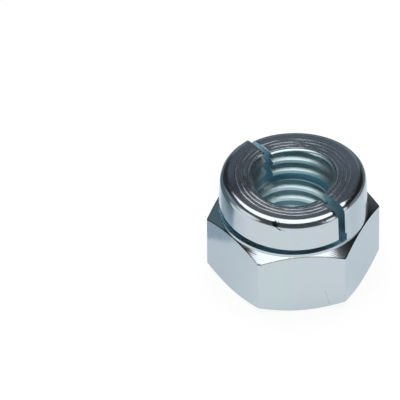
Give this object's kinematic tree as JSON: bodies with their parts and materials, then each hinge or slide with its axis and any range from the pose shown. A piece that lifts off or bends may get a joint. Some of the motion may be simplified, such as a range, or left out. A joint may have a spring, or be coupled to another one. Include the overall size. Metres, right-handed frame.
{
  "type": "all-metal lock nut",
  "caption": "Hexagon lock nut with a tall slotted collar, whose bent arms grip the bolt's thread without a plastic insert.",
  "frame": {"origin": "centre of the bearing face, on the axis of the thread", "axes": "+Z along the axis of the thread, from the bearing face to the slotted collar; two flats of the hexagon face -Y and +Y, and two of its corners lie on the X axis"},
  "size_m": [0.0218, 0.019, 0.0148],
  "materials": {
    "zinc_plated_steel": "bright blue-white zinc plating, with turning rings on the top of the collar"
  },
  "bodies": {
    "root": {"lock_nut": "zinc_plated_steel"}
  },
  "joints": []
}
